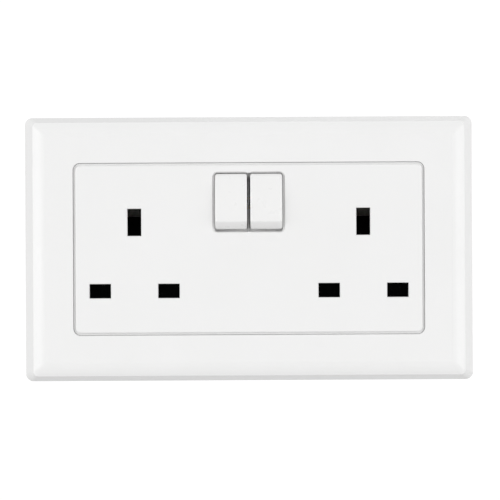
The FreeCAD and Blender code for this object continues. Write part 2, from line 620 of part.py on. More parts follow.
# Rocker window in a shallow recess of two rounded halves, with a well behind and a ledge in the well
def add_rocker_well(body):
    floor = "(-well_floor - pivot_depth)"
    back = f"({floor} + well_ledge)"
    walls = outline_sketch(body, "rocker_well", "XZ_Plane", back,
                           centred(f"({WINDOW_WIDTH} + 2 * well_wall)", f"({WINDOW_HEIGHT} + 2 * well_wall)",
                                   up=SWITCH_Z))
    pad(body, walls, f"{back} - {PANEL_BACK}")
    window = outline_sketch(body, "rocker_window", "XZ_Plane", PANEL_FACE,
                            rounded(WINDOW_WIDTH, WINDOW_HEIGHT, "rocker_corner_window", up=SWITCH_Z))
    pocket(body, window, f"{floor} - {PANEL_FACE}")
    recess_half = f"({WINDOW_WIDTH} / 2 + recess_side)"
    for name, sign in SIDES:
        recess = outline_sketch(body, f"rocker_recess_{name}", "XZ_Plane", PANEL_FACE,
                                rounded(f"({recess_half} + recess_share)",
                                        f"({WINDOW_HEIGHT} + 2 * recess_end)", "recess_corner",
                                        f"{sign} * ({recess_half} - recess_share) / 2", SWITCH_Z))
        pocket(body, recess, "recess_depth")
    opening = outline_sketch(body, "well_opening", "XZ_Plane", floor,
                             centred("(rocker_gap + 2 * (rocker_width - well_reach))",
                                     "(rocker_length - 2 * well_end_reach)", up=SWITCH_Z))
    pocket(body, opening, "well_ledge")


# Two ribs behind the rocker window, each with a slot open to the rear for the pivot pin
def add_bearing_ribs(body):
    inner = f"({WINDOW_WIDTH} / 2 - rocker_side_gap + rib_gap)"
    outlines = []
    for name, sign in SIDES:
        outlines.append(centred("rib_thickness", "rib_height",
                                f"{sign} * ({inner} + rib_thickness / 2)", SWITCH_Z))
    ribs = outline_sketch(body, "bearing_ribs", "XZ_Plane", "rib_back - pivot_depth", *outlines)
    pad(body, ribs, f"rib_back - pivot_depth - {PANEL_BACK}")
    radius = "(pivot_radius + pivot_clearance)"
    low = f"({SWITCH_Z} - {radius})"
    high = f"({SWITCH_Z} + {radius})"
    back = "(rib_back - pivot_depth + rib_back)"
    half_turn = [("-pivot_depth", high, radius), (f"-pivot_depth - {radius}", SWITCH_Z, radius),
                 ("-pivot_depth", low), (back, low), (back, high)]
    slot = outline_sketch(body, "bearing_slots", "YZ_Plane", f"-({inner} + 2 * rib_thickness)", half_turn)
    pocket(body, slot, f"2 * ({inner} + 2 * rib_thickness)", turned=True)


# Guides beside each shutter stem. Their lower ends stop the shutter's wings
def add_shutter_guides(body):
    outlines = []
    for name, sign in SIDES:
        for edge in (-1, 1):
            offset = "(shutter_stem / 2 + guide_gap + guide_thickness / 2)"
            across = f"({outlet(sign)} + {edge} * {offset})"
            outlines.append(rectangle(f"{across} - guide_thickness / 2", f"{across} + guide_thickness / 2",
                                      f"{WING_TOP} + guide_stop", STEM_TOP))
    guides = outline_sketch(body, "shutter_guides", "XZ_Plane", f"{PANEL_BACK} + guide_rise", *outlines)
    pad(body, guides, "guide_rise")


# Rear housing: tray with posts for the conductors, screw posts and three open terminal bays
def make_rear_housing():
    body = new_body("rear_housing")
    tray = outline_sketch(body, "tray", "XZ_Plane", HOUSING_REAR,
                          rounded(HOUSING_WIDTH, HOUSING_HEIGHT, "housing_corner"))
    pad(body, tray, HOUSING_REAR)
    dress(body, "Chamfer", "rear_edge", "housing_edge", lambda edge: at_depth(edge, HOUSING_REAR))
    hollow = outline_sketch(body, "hollow", "XZ_Plane", "0",
                            centred(f"{HOUSING_WIDTH} - 2 * housing_wall",
                                    f"{HOUSING_HEIGHT} - 2 * housing_wall"))
    pocket(body, hollow, REAR_WALL)
    box_half = "(terminal_pitch + terminal_width / 2 + bay_clearance + bay_wall)"
    bay_top = f"({TERMINAL_TOP} + bay_clearance)"
    terminal_box = outline_sketch(body, "terminal_box", "XZ_Plane", REAR_WALL,
                                  rectangle(f"-{box_half}", box_half, f"-{INNER_HALF}",
                                            f"{bay_top} + bay_wall"))
    pad(body, terminal_box, f"{REAR_WALL} - {FEED_BACK} - bay_clearance")
    add_posts(body)
    bays = [rectangle(f"{number} * terminal_pitch - terminal_width / 2 - bay_clearance",
                      f"{number} * terminal_pitch + terminal_width / 2 + bay_clearance",
                      f"-{HOUSING_HEIGHT} / 2 - housing_wall", bay_top) for name, number in TERMINALS]
    bay_cut = outline_sketch(body, "terminal_bays", "XZ_Plane", FEED_BACK, *bays)
    pocket(body, bay_cut, f"{HOUSING_REAR} - {FEED_BACK}")
    tab_slot = outline_sketch(body, "earth_tab_slot", "XZ_Plane", f"{EARTH_FRONT} - bay_clearance",
                              rectangle("-tab_width / 2 - bay_clearance", "tab_width / 2 + bay_clearance",
                                        TERMINAL_TOP, f"{bay_top} + 2 * bay_wall"))
    pocket(body, tab_slot, f"{REAR_WALL} - {EARTH_FRONT} + bay_clearance")
    holes = circle_sketch(body, "screw_holes", "XZ_Plane", "0",
                          [(across, up, "screw_radius + screw_clearance") for across, up in BOSSES])
    pocket(body, holes, HOUSING_REAR)
    sinks = circle_sketch(body, "screw_sinks", "XZ_Plane", HOUSING_REAR,
                          [(across, up, "screw_head + head_clearance") for across, up in BOSSES])
    pocket(body, sinks, "screw_head_rise + screw_sink", turned=True)


# Posts that carry the conductors and the housing screws
def add_posts(body):
    above_earth = f"({EARTH_BAR_TOP} + post_height)"
    run_middle = f"({RUN_TOP} - run_width / 2)"
    line_posts = []
    neutral_posts = []
    earth_posts = [centred("post_width", "earth_width", "0", f"{EARTH_BAR_TOP} - earth_width / 2")]
    for name, sign in SIDES:
        line_posts.append(centred("post_width", "post_height", line_x(sign), LIVE_Z))
        line_posts.append(centred("post_width", "post_height", line_x(sign), above_earth))
        line_posts.append(centred("post_width", "post_height", f"{sign} * {ROCKER_X}", run_middle))
        neutral_posts.append(centred("post_width", "neutral_width", neutral_x(sign),
                                     f"{NEUTRAL_TOP} - neutral_width / 2"))
        earth_posts.append(centred("post_width", "post_height", outlet(sign), "earth_height"))
    feed_posts = [centred("post_width", "feed_width", "0", SWITCH_Z),
                  centred("post_width", "post_height", "terminal_pitch", above_earth)]
    for label, front, outlines in (("line_posts", LINE_BACK, line_posts),
                                   ("neutral_posts", FEED_BACK, neutral_posts),
                                   ("feed_posts", FEED_BACK, feed_posts),
                                   ("earth_posts", EARTH_BACK, earth_posts)):
        posts = outline_sketch(body, label, "XZ_Plane", REAR_WALL, *outlines)
        pad(body, posts, f"{REAR_WALL} - {front}")
    screw_posts = circle_sketch(body, "screw_posts", "XZ_Plane", REAR_WALL,
                                [(across, up, "boss_radius") for across, up in BOSSES])
    pad(body, screw_posts, REAR_WALL)


# Rocker about its own axis: crowned face, bevelled ends, hub for the pin and tube for the plunger
def make_rocker(name, sign):
    body = new_body(f"rocker_{name}")
    slope = "tan(rocker_swing / 2)"
    upper_depth = "(rocker_reach - rocker_upper_drop)"
    lower_depth = "(rocker_reach - rocker_lower_drop)"
    rear_half = f"(rocker_length / 2 - {slope} * rocker_skirt)"
    upper_half = f"(rocker_length / 2 - {slope} * {upper_depth})"
    lower_half = f"(rocker_length / 2 - {slope} * {lower_depth})"
    side_view = [("-rocker_skirt", f"-{rear_half}"), ("-rocker_skirt", rear_half),
                 (f"-{upper_depth}", upper_half),
                 ("-rocker_reach", f"{upper_half} - rocker_upper_bevel", "rocker_crown"),
                 ("-rocker_reach", f"rocker_lower_bevel - {lower_half}"),
                 (f"-{lower_depth}", f"-{lower_half}")]
    profile = outline_sketch(body, "side_view", "YZ_Plane", "-rocker_width / 2", side_view)
    pad(body, profile, "rocker_width")
    dress(body, "Fillet", "soft_ridges", "rocker_round",
          lambda edge: runs_along(edge, "x") and not at_depth(edge, "-rocker_skirt"))
    dress(body, "Fillet", "soft_sides", "rocker_round",
          lambda edge: edge.BoundBox.XLength < TOUCH and not at_depth(edge, "-rocker_skirt"))
    hollow = outline_sketch(body, "hollow", "XZ_Plane", "-rocker_skirt",
                            centred("rocker_width - 2 * rocker_wall", f"2 * ({rear_half} - rocker_wall)"))
    pocket(body, hollow, "rocker_reach - rocker_skin - rocker_skirt", turned=True)
    hub = outline_sketch(body, "hub", "XZ_Plane", "hub_back",
                         centred("rocker_width - 2 * hub_inset", "hub_height"))
    pad(body, hub, "hub_back + rocker_reach - rocker_skin / 2")
    tube = circle_sketch(body, "tube", "XZ_Plane", "tube_reach", [("0", "0", "tube_radius")])
    pad(body, tube, "tube_reach + rocker_reach - rocker_skin / 2")
    pin_hole = circle_sketch(body, "pin_hole", "YZ_Plane", "-rocker_width / 2",
                             [("0", "0", "pivot_radius + pivot_clearance")])
    pocket(body, pin_hole, "rocker_width", turned=True)
    bore = circle_sketch(body, "plunger_bore", "XZ_Plane", "tube_reach",
                         [("0", "0", "plunger_radius + plunger_clearance")])
    pocket(body, bore, "tube_reach - tube_floor", turned=True)
    hang_on_pivot(body, sign)


def hang_on_pivot(body, sign):
    tilt(body, "-rocker_swing / 2")
    place(body, f"{sign} * {ROCKER_X}", "-pivot_depth", SWITCH_Z)


# Pivot pin that both rockers turn on
def make_pivot_pin():
    body = new_body("rocker_pivot_pin")
    half = f"({WINDOW_WIDTH} / 2 - rocker_side_gap + rib_gap + rib_thickness)"
    section = circle_sketch(body, "section", "YZ_Plane", f"-{half}",
                            [("-pivot_depth", SWITCH_Z, "pivot_radius")])
    pad(body, section, f"2 * {half}")


# Plunger with a ball end, in the rocker's tube
def make_plunger(name, sign):
    body = new_body(f"plunger_{name}")
    front = f"({PLUNGER_END} - plunger_length)"
    shoulder = f"({PLUNGER_END} - plunger_radius)"
    half_view = [("0", front), ("plunger_radius", front), ("plunger_radius", shoulder, "plunger_radius"),
                 ("0", PLUNGER_END)]
    turn(body, outline_sketch(body, "half_view", "XY_Plane", "0", half_view))
    hang_on_pivot(body, sign)


def turn(body, sketch):
    feature = body.newObject("PartDesign::Revolution", f"{sketch.Name}_turned")
    feature.Profile = sketch
    feature.ReferenceAxis = (sketch, ["V_Axis"])
    feature.Angle = 360


def coil(body, sketch, height, turns):
    feature = body.newObject("PartDesign::AdditiveHelix", f"{sketch.Name}_coiled")
    feature.Profile = sketch
    feature.ReferenceAxis = (sketch, ["V_Axis"])
    feature.Mode = "pitch-height-angle"
    bind(feature, "Pitch", f"({height}) / ({turns})")
    bind(feature, "Height", height)


def make_plunger_spring(name, sign):
    body = new_body(f"plunger_spring_{name}")
    start = "(tube_floor + spring_clearance + plunger_wire / 2)"
    height = f"({PLUNGER_END} - plunger_length - spring_clearance - plunger_wire / 2 - {start})"
    wire = outline_sketch(body, "wire", "XY_Plane", "0",
                          centred("plunger_wire", "plunger_wire",
                                  "plunger_radius - plunger_wire / 2", start))
    coil(body, wire, height, "plunger_turns")
    hang_on_pivot(body, sign)


# Moving contact: a strip that rocks on the ridge of the feed bar, with a domed tip
def make_moving_contact(name, sign):
    body = new_body(f"moving_contact_{name}")
    strip = outline_sketch(body, "strip", "XZ_Plane", f"-{CONTACT_SEAT}",
                           rounded("contact_width", "(contact_upper + contact_lower)", "contact_strip",
                                   up="(contact_upper - contact_lower) / 2"))
    pad(body, strip, "contact_strip")
    hang_on_ridge(body, sign)


def make_moving_tip(name, sign):
    body = new_body(f"moving_tip_{name}")
    half_view = [("0", f"-{CONTACT_SEAT}"), ("tip_radius", f"-{CONTACT_SEAT}", DOME_RADIUS),
                 ("0", f"tip_rise - {CONTACT_SEAT}")]
    turn(body, outline_sketch(body, "half_view", "XY_Plane", "contact_arm", half_view))
    hang_on_ridge(body, sign)


def hang_on_ridge(body, sign):
    tilt(body, "contact_swing / 2")
    place(body, f"{sign} * {ROCKER_X}", CONTACT_AXIS, SWITCH_Z)


def make_fixed_tip(name, sign):
    body = new_body(f"fixed_tip_{name}")
    disc = circle_sketch(body, "disc", "XZ_Plane", LINE_FRONT,
                         [(f"{sign} * {ROCKER_X}", CONTACT_TIP_Z, "fixed_tip_radius")])
    pad(body, disc, "fixed_tip_rise")


# Places of the line and neutral pins of an outlet
def line_x(sign):
    return f"({outlet(sign)} + pin_spread / 2)"


def neutral_x(sign):
    return f"({outlet(sign)} - pin_spread / 2)"


# Spring jaws that grip a flat pin from above and below
def add_live_jaws(body, name, across):
    lip_end = f"({JAW_FRONT} + jaw_lip)"
    outer = [(LINE_BACK, f"{LIVE_Z} - {JAW_OUTER}"), (LINE_BACK, f"{LIVE_Z} + {JAW_OUTER}"),
             (lip_end, f"{LIVE_Z} + {JAW_OUTER}"), (JAW_FRONT, f"{LIVE_Z} + {JAW_OUTER} + jaw_flare")]
    inner = [(JAW_FRONT, f"{LIVE_Z} + {JAW_HALF} + jaw_flare"), (lip_end, f"{LIVE_Z} + {JAW_HALF}"),
             (LINE_FRONT, f"{LIVE_Z} + {JAW_HALF}"), (LINE_FRONT, f"{LIVE_Z} - {JAW_HALF}"),
             (lip_end, f"{LIVE_Z} - {JAW_HALF}"), (JAW_FRONT, f"{LIVE_Z} - {JAW_HALF} - jaw_flare")]
    last = [(JAW_FRONT, f"{LIVE_Z} - {JAW_OUTER} - jaw_flare"), (lip_end, f"{LIVE_Z} - {JAW_OUTER}")]
    jaws = outline_sketch(body, name, "YZ_Plane", f"{across} - jaw_width / 2", outer + inner + last)
    pad(body, jaws, "jaw_width")


# Line contact: a strip from the fixed tip down to the jaws of one outlet
def make_line_contact(name, sign):
    body = new_body(f"line_contact_{name}")
    left = f"({line_x(sign)} - jaw_width / 2)"
    right = f"({line_x(sign)} + jaw_width / 2)"
    foot = f"({LIVE_Z} - {JAW_OUTER})"
    if sign < 0:
        outline = [(left, foot), (right, foot), (right, RUN_BOTTOM), ("-run_end", RUN_BOTTOM),
                   ("-run_end", RUN_TOP), (left, RUN_TOP)]
    else:
        outline = [(left, foot), (right, foot), (right, RUN_TOP), ("run_end", RUN_TOP),
                   ("run_end", RUN_BOTTOM), (left, RUN_BOTTOM)]
    strip = outline_sketch(body, "strip", "XZ_Plane", LINE_BACK, outline)
    pad(body, strip, "strip_thickness")
    add_live_jaws(body, "jaws", line_x(sign))


# Line feed bar: from the line terminal up to the ridge under both moving contacts
def make_line_feed_bar():
    body = new_body("line_feed_bar")
    half = f"({ROCKER_X} + contact_width / 2)"
    low = f"({SWITCH_Z} - feed_width / 2)"
    high = f"({SWITCH_Z} + feed_width / 2)"
    inner = "(terminal_pitch - tab_width / 2)"
    outer = "(terminal_pitch + tab_width / 2)"
    bar = outline_sketch(body, "bar", "XZ_Plane", FEED_BACK,
                         [(f"-{half} - feed_overhang", low), (inner, low), (inner, TERMINAL_MID),
                          (outer, TERMINAL_MID), (outer, high), (f"-{half} - feed_overhang", high)])
    pad(body, bar, "feed_thickness")
    ridge = circle_sketch(body, "ridge", "YZ_Plane", f"-{half}",
                          [(CONTACT_AXIS, SWITCH_Z, "ridge_radius")])
    pad(body, ridge, f"2 * {half}")


# Neutral bar: one strip that joins the neutral jaws of both outlets and the neutral terminal
def make_neutral_bar():
    body = new_body("neutral_bar")
    reach = f"({LIVE_Z} - {JAW_HALF} - strip_thickness / 2)"
    first_left = f"({neutral_x(-1)} - jaw_width / 2)"
    first_right = f"({neutral_x(-1)} + jaw_width / 2)"
    last_left = f"({neutral_x(1)} - jaw_width / 2)"
    last_right = f"({neutral_x(1)} + jaw_width / 2)"
    bar = outline_sketch(body, "bar", "XZ_Plane", FEED_BACK,
                         [(first_left, NEUTRAL_BOTTOM), (last_right, NEUTRAL_BOTTOM),
                          (last_right, reach), (last_left, reach), (last_left, NEUTRAL_TOP),
                          ("tab_width / 2 - terminal_pitch", NEUTRAL_TOP),
                          ("tab_width / 2 - terminal_pitch", TERMINAL_MID),
                          ("-tab_width / 2 - terminal_pitch", TERMINAL_MID),
                          ("-tab_width / 2 - terminal_pitch", NEUTRAL_TOP),
                          (first_right, NEUTRAL_TOP), (first_right, reach), (first_left, reach)])
    pad(body, bar, "strip_thickness")
    for name, sign in SIDES:
        add_live_jaws(body, f"jaws_{name}", neutral_x(sign))


# Earth bar: jaws of both outlets and a tab to the earth terminal
def make_earth_bar():
    body = new_body("earth_bar")
    outer = f"({OUTLET_X} + {JAW_OUTER})"
    inner = f"({OUTLET_X} - {JAW_OUTER})"
    bar = outline_sketch(body, "bar", "XZ_Plane", EARTH_BACK,
                         [(f"-{outer}", EARTH_BAR_BOTTOM), ("-tab_width / 2", EARTH_BAR_BOTTOM),
                          ("-tab_width / 2", TERMINAL_TOP), ("tab_width / 2", TERMINAL_TOP),
                          ("tab_width / 2", EARTH_BAR_BOTTOM), (outer, EARTH_BAR_BOTTOM),
                          (outer, EARTH_JAW_TOP), (inner, EARTH_JAW_TOP), (inner, EARTH_BAR_TOP),
                          (f"-{inner}", EARTH_BAR_TOP), (f"-{inner}", EARTH_JAW_TOP),
                          (f"-{outer}", EARTH_JAW_TOP)])
    pad(body, bar, "strip_thickness")
    for name, sign in SIDES:
        add_earth_jaws(body, f"jaws_{name}", outlet(sign))


# Spring jaws that grip the earth pin from both sides
def add_earth_jaws(body, name, across):
    lip_end = f"({EARTH_JAW_FRONT} + jaw_lip)"
    left_lip = [(f"{across} - {JAW_OUTER} - jaw_flare", EARTH_JAW_FRONT),
                (f"{across} - {JAW_HALF} - jaw_flare", EARTH_JAW_FRONT)]
    inside = [(f"{across} - {JAW_HALF}", lip_end), (f"{across} - {JAW_HALF}", EARTH_FRONT),
              (f"{across} + {JAW_HALF}", EARTH_FRONT), (f"{across} + {JAW_HALF}", lip_end)]
    right_lip = [(f"{across} + {JAW_HALF} + jaw_flare", EARTH_JAW_FRONT),
                 (f"{across} + {JAW_OUTER} + jaw_flare", EARTH_JAW_FRONT)]
    outside = [(f"{across} + {JAW_OUTER}", lip_end), (f"{across} + {JAW_OUTER}", EARTH_BACK),
               (f"{across} - {JAW_OUTER}", EARTH_BACK), (f"{across} - {JAW_OUTER}", lip_end)]
    jaws = outline_sketch(body, name, "XY_Plane", EARTH_JAW_BOTTOM,
                          left_lip + inside + right_lip + outside)
    pad(body, jaws, "earth_jaw_height")


# Terminal block with a wire hole from below and a threaded hole from the rear
def make_terminal(name, number):
    body = new_body(f"{name}_terminal")
    across = f"({number} * terminal_pitch)"
    block = outline_sketch(body, "block", "XZ_Plane", CLAMP_BACK,
                           centred("terminal_width", "terminal_length", across, TERMINAL_MID))
    pad(body, block, "terminal_depth")
    dress(body, "Chamfer", "edges", "terminal_edge", lambda edge: runs_along(edge, "y"))
    wire_hole = circle_sketch(body, "wire_hole", "XY_Plane", TERMINAL_TOP,
                              [(across, WIRE_DEPTH, "wire_hole / 2")])
    pocket(body, wire_hole, "terminal_length")
    thread = circle_sketch(body, "thread", "XZ_Plane", CLAMP_BACK,
                           [(across, TERMINAL_MID, "clamp_radius + clamp_clearance")])
    pocket(body, thread, "terminal_depth / 2", turned=True)


# Slotted screws along Y, one group of separate solids
def make_screws(label, places, tip, seat, shank_radius, head_radius, head_rise):
    screws = []
    for across, up in places:
        shank = document.addObject("Part::Cylinder", "shank")
        bind(shank, "Radius", shank_radius)
        bind(shank, "Height", f"{seat} - ({tip})")
        head = document.addObject("Part::Cylinder", "head")
        bind(head, "Radius", head_radius)
        bind(head, "Height", head_rise)
        for item, depth in ((shank, tip), (head, seat)):
            item.Placement = FreeCAD.Placement(FreeCAD.Vector(),
                                               FreeCAD.Rotation(FreeCAD.Vector(1, 0, 0), -90))
            place(item, across, depth, up)
        drive = document.addObject("Part::Box", "drive")
        bind(drive, "Length", f"2 * ({head_radius})")
        bind(drive, "Width", "drive_depth")
        bind(drive, "Height", "drive_width")
        place(drive, f"{across} - {head_radius}", f"{seat} + {head_rise} - drive_depth",
              f"{up} - drive_width / 2")
        blank = document.addObject("Part::Fuse", "blank")
        blank.Base = shank
        blank.Tool = head
        screw = document.addObject("Part::Cut", "screw")
        screw.Base = blank
        screw.Tool = drive
        screws.append(screw)
    group = document.addObject("Part::Compound", label)
    group.Label = label
    group.Links = screws
    NODES.append(group)


def make_fasteners():
    make_screws("terminal_screws", [(f"{number} * terminal_pitch", TERMINAL_MID)
                                    for name, number in TERMINALS],
                f"({WIRE_DEPTH} + wire_hole / 2 + clamp_tip)", f"({CLAMP_BACK} + clamp_head_gap)",
                "clamp_radius", "clamp_head", "clamp_head_rise")
    make_screws("housing_screws", BOSSES, "-screw_grip",
                f"({HOUSING_REAR} - screw_sink - screw_head_rise)",
                "screw_radius", "screw_head", "screw_head_rise")


# Shutter: wings behind the line and neutral apertures, and a ramp that the earth pin pushes down
def make_shutter(name, sign):
    body = new_body(f"shutter_{name}")
    middle = outlet(sign)
    wing_left = f"({middle} - {WING_HALF})"
    wing_right = f"({middle} + {WING_HALF})"
    stem_left = f"({middle} - shutter_stem / 2)"
    stem_right = f"({middle} + shutter_stem / 2)"
    slot_left = f"({middle} - slot_width / 2)"
    slot_right = f"({middle} + slot_width / 2)"
    plate = outline_sketch(body, "plate", "XZ_Plane", SHUTTER_BACK,
                           [(wing_left, WING_BOTTOM), (slot_left, WING_BOTTOM), (slot_left, SLOT_TOP),
                            (slot_right, SLOT_TOP), (slot_right, WING_BOTTOM),
                            (wing_right, WING_BOTTOM), (wing_right, WING_TOP), (stem_right, WING_TOP),
                            (stem_right, STEM_TOP), (stem_left, STEM_TOP), (stem_left, WING_TOP),
                            (wing_left, WING_TOP)])
    pad(body, plate, "shutter_thickness")
    dress(body, "Fillet", "wing_corners", "shutter_round",
          lambda edge: runs_along(edge, "y")
          and (near(edge.BoundBox.XMin, wing_left) or near(edge.BoundBox.XMin, wing_right)))
    low = f"({STEM_TOP} - ramp_base)"
    ramp = outline_sketch(body, "ramp", "YZ_Plane", f"{middle} - ramp_width / 2",
                          [(SHUTTER_FRONT, low), (SHUTTER_BACK, low),
                           (RAMP_BACK, f"{RAMP_TOP} - ramp_base"), (RAMP_BACK, RAMP_TOP),
                           (SHUTTER_FRONT, RAMP_FOOT)])
    pad(body, ramp, "ramp_width")


def make_shutter_spring(name, sign):
    body = new_body(f"shutter_spring_{name}")
    start = f"({SPRING_SEAT} + spring_clearance + shutter_wire / 2)"
    height = f"({SLOT_TOP} - spring_clearance - shutter_wire / 2 - {start})"
    wire = outline_sketch(body, "wire", "XZ_Plane", "0",
                          centred("shutter_wire", "shutter_wire",
                                  "(shutter_spring - shutter_wire) / 2", start))
    coil(body, wire, height, "shutter_turns")
    place(body, outlet(sign), f"{SHUTTER_FRONT} + shutter_thickness / 2", "0")


SINGLE_PIECES = (make_cover_frame, make_front_panel, make_rear_housing, make_pivot_pin,
                 make_line_feed_bar, make_neutral_bar, make_earth_bar, make_fasteners)
PAIRED_PIECES = (make_rocker, make_plunger, make_plunger_spring, make_moving_contact, make_moving_tip,
                 make_fixed_tip, make_line_contact, make_shutter, make_shutter_spring)
for make in SINGLE_PIECES:
    make()
for make in PAIRED_PIECES:
    for side_name, side_sign in SIDES:
        make(side_name, side_sign)
for terminal_name, terminal_number in TERMINALS:
    make_terminal(terminal_name, terminal_number)
document.recompute()


def check_document():
    for item in document.Objects:
        if "Invalid" in item.State or "Error" in item.State:
            raise RuntimeError(f"{item.Label} failed: {item.State}")
    for node in NODES:
        if node.Shape.isNull() or not node.Shape.isValid():
            raise RuntimeError(f"{node.Label} has no valid shape")


check_document()
os.makedirs("parts", exist_ok=True)
for node in NODES:
    node.Shape.exportStep(f"parts/{node.Label}.step")
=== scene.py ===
import json
import math

import bpy
from mathutils import Matrix, Vector


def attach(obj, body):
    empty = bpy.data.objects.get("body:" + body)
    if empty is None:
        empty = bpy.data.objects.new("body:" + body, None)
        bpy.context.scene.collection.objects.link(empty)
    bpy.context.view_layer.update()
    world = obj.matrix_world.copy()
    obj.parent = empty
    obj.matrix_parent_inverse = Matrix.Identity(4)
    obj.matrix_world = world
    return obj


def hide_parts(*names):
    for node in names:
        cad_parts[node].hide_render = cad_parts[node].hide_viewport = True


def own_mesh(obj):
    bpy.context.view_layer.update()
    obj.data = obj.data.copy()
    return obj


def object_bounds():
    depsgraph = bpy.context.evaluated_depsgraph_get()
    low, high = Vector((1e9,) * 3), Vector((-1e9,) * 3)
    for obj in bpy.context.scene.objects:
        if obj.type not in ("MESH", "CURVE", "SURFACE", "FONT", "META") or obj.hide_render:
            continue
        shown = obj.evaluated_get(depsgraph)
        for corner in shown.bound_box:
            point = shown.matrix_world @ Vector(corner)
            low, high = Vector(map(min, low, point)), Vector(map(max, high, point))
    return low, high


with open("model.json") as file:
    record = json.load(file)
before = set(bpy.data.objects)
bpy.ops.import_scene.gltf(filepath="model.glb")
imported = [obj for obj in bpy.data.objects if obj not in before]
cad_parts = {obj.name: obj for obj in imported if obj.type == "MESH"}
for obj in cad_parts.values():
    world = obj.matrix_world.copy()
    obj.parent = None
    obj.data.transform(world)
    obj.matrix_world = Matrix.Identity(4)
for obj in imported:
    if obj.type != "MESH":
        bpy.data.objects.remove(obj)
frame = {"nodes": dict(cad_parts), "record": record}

cad_low, cad_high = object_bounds()
nodes = frame["nodes"]
record = frame["record"]
joints = {joint["name"]: joint for joint in record["behaviour"]["joints"]}
mounts = {mount["name"]: mount for mount in record["mounts"]}
scene = bpy.context.scene

UP = Vector((0, 0, 1))

# Texture values that the finishes share: lengths in metres, scales per metre
NOISE_LOW, NOISE_HIGH = 0.3, 0.7
NOISE_ROUGHNESS = 0.55
GLOSS_FINENESS = 4
PLASTIC_IOR = 1.5
STAIN_SCALE = 260.0
STREAK_DEPTH = 0.000006
STREAK_FINE, STREAK_MEDIUM, STREAK_LONG = 2200.0, 900.0, 160.0


# Material helpers: textures lie in the row frame
def new_material(name):
    material = bpy.data.materials.new(name)
    material.use_nodes = True
    tree = material.node_tree
    shader = tree.nodes["Principled BSDF"]
    place = tree.nodes.new("ShaderNodeTexCoord")
    return material, tree, shader, place.outputs["Object"]


def noise(tree, vector, scale, detail=3.0):
    node = tree.nodes.new("ShaderNodeTexNoise")
    node.inputs["Scale"].default_value = scale
    node.inputs["Detail"].default_value = detail
    node.inputs["Roughness"].default_value = NOISE_ROUGHNESS
    tree.links.new(vector, node.inputs["Vector"])
    return node.outputs["Fac"]


def spread(tree, factor, low, high):
    node = tree.nodes.new("ShaderNodeMapRange")
    node.inputs["From Min"].default_value = NOISE_LOW
    node.inputs["From Max"].default_value = NOISE_HIGH
    node.inputs["To Min"].default_value = low
    node.inputs["To Max"].default_value = high
    tree.links.new(factor, node.inputs["Value"])
    return node.outputs["Result"]


def blend_colours(tree, factor, first, second):
    node = tree.nodes.new("ShaderNodeMix")
    node.data_type = "RGBA"
    node.inputs["A"].default_value = (*first, 1.0)
    node.inputs["B"].default_value = (*second, 1.0)
    tree.links.new(spread(tree, factor, 0.0, 1.0), node.inputs["Factor"])
    return node.outputs["Result"]


def add_bump(tree, shader, height, depth):
    node = tree.nodes.new("ShaderNodeBump")
    node.inputs["Strength"].default_value = 1.0
    node.inputs["Distance"].default_value = depth
    tree.links.new(height, node.inputs["Height"])
    tree.links.new(node.outputs["Normal"], shader.inputs["Normal"])


def stretch(tree, vector, factors):
    node = tree.nodes.new("ShaderNodeMapping")
    node.inputs["Scale"].default_value = factors
    tree.links.new(vector, node.inputs["Vector"])
    return node.outputs["Vector"]


def moulded_plastic(name, light, dark, gloss, cloud, grain, grain_depth, roughness):
    """Moulded plastic: faint clouding of the colour, uneven gloss and a fine moulded skin."""
    material, tree, shader, where = new_material(name)
    colour = blend_colours(tree, noise(tree, where, cloud), light, dark)
    tree.links.new(colour, shader.inputs["Base Color"])
    shine = spread(tree, noise(tree, where, cloud * GLOSS_FINENESS), *roughness)
    tree.links.new(shine, shader.inputs["Roughness"])
    shader.inputs["IOR"].default_value = PLASTIC_IOR
    shader.inputs["Specular IOR Level"].default_value = gloss
    add_bump(tree, shader, noise(tree, where, grain, detail=2.0), grain_depth)
    return material


def worked_metal(name, light, dark, streaks, roughness):
    """Drawn or pressed metal: small stains, and streaks with a scale of their own along X, Y and Z."""
    material, tree, shader, where = new_material(name)
    stains = noise(tree, where, STAIN_SCALE, detail=4.0)
    tree.links.new(blend_colours(tree, stains, light, dark), shader.inputs["Base Color"])
    lines = noise(tree, stretch(tree, where, streaks), scale=1.0, detail=4.0)
    tree.links.new(spread(tree, lines, *roughness), shader.inputs["Roughness"])
    shader.inputs["Metallic"].default_value = 1.0
    add_bump(tree, shader, lines, STREAK_DEPTH)
    return material


# Finishes
WHITE = moulded_plastic("white_gloss", light=(0.88, 0.88, 0.878), dark=(0.868, 0.868, 0.864), gloss=0.5,
                        cloud=45.0, grain=700.0, grain_depth=0.000004, roughness=(0.2, 0.27))
ROCKER = moulded_plastic("white_rocker", light=(0.878, 0.878, 0.873), dark=(0.87, 0.87, 0.865), gloss=0.5,
                         cloud=70.0, grain=900.0, grain_depth=0.0000006, roughness=(0.27, 0.29))
REAR = moulded_plastic("rear_moulding", light=(0.74, 0.74, 0.722), dark=(0.715, 0.715, 0.695), gloss=0.35,
                       cloud=140.0, grain=2600.0, grain_depth=0.00002, roughness=(0.5, 0.62))
# The shutters are black, and their colour is pushed to near zero with almost no gloss as painted shade,
# so the slots read as deep and dark
SHUTTER_BLACK_AND_SHADE = moulded_plastic("dark_shutter", light=(0.0008, 0.0008, 0.0008), dark=(0.0016, 0.0016, 0.0016),
                       gloss=0.01, cloud=90.0, grain=2400.0, grain_depth=0.00002, roughness=(0.6, 0.75))
NYLON = moulded_plastic("nylon", light=(0.8, 0.76, 0.64), dark=(0.72, 0.68, 0.56), gloss=0.4,
                        cloud=120.0, grain=1500.0, grain_depth=0.00001, roughness=(0.4, 0.55))
BRASS = worked_metal("brass", light=(0.7, 0.5, 0.21), dark=(0.5, 0.34, 0.13),
                     streaks=(STREAK_FINE, STREAK_LONG, STREAK_LONG), roughness=(0.42, 0.6))
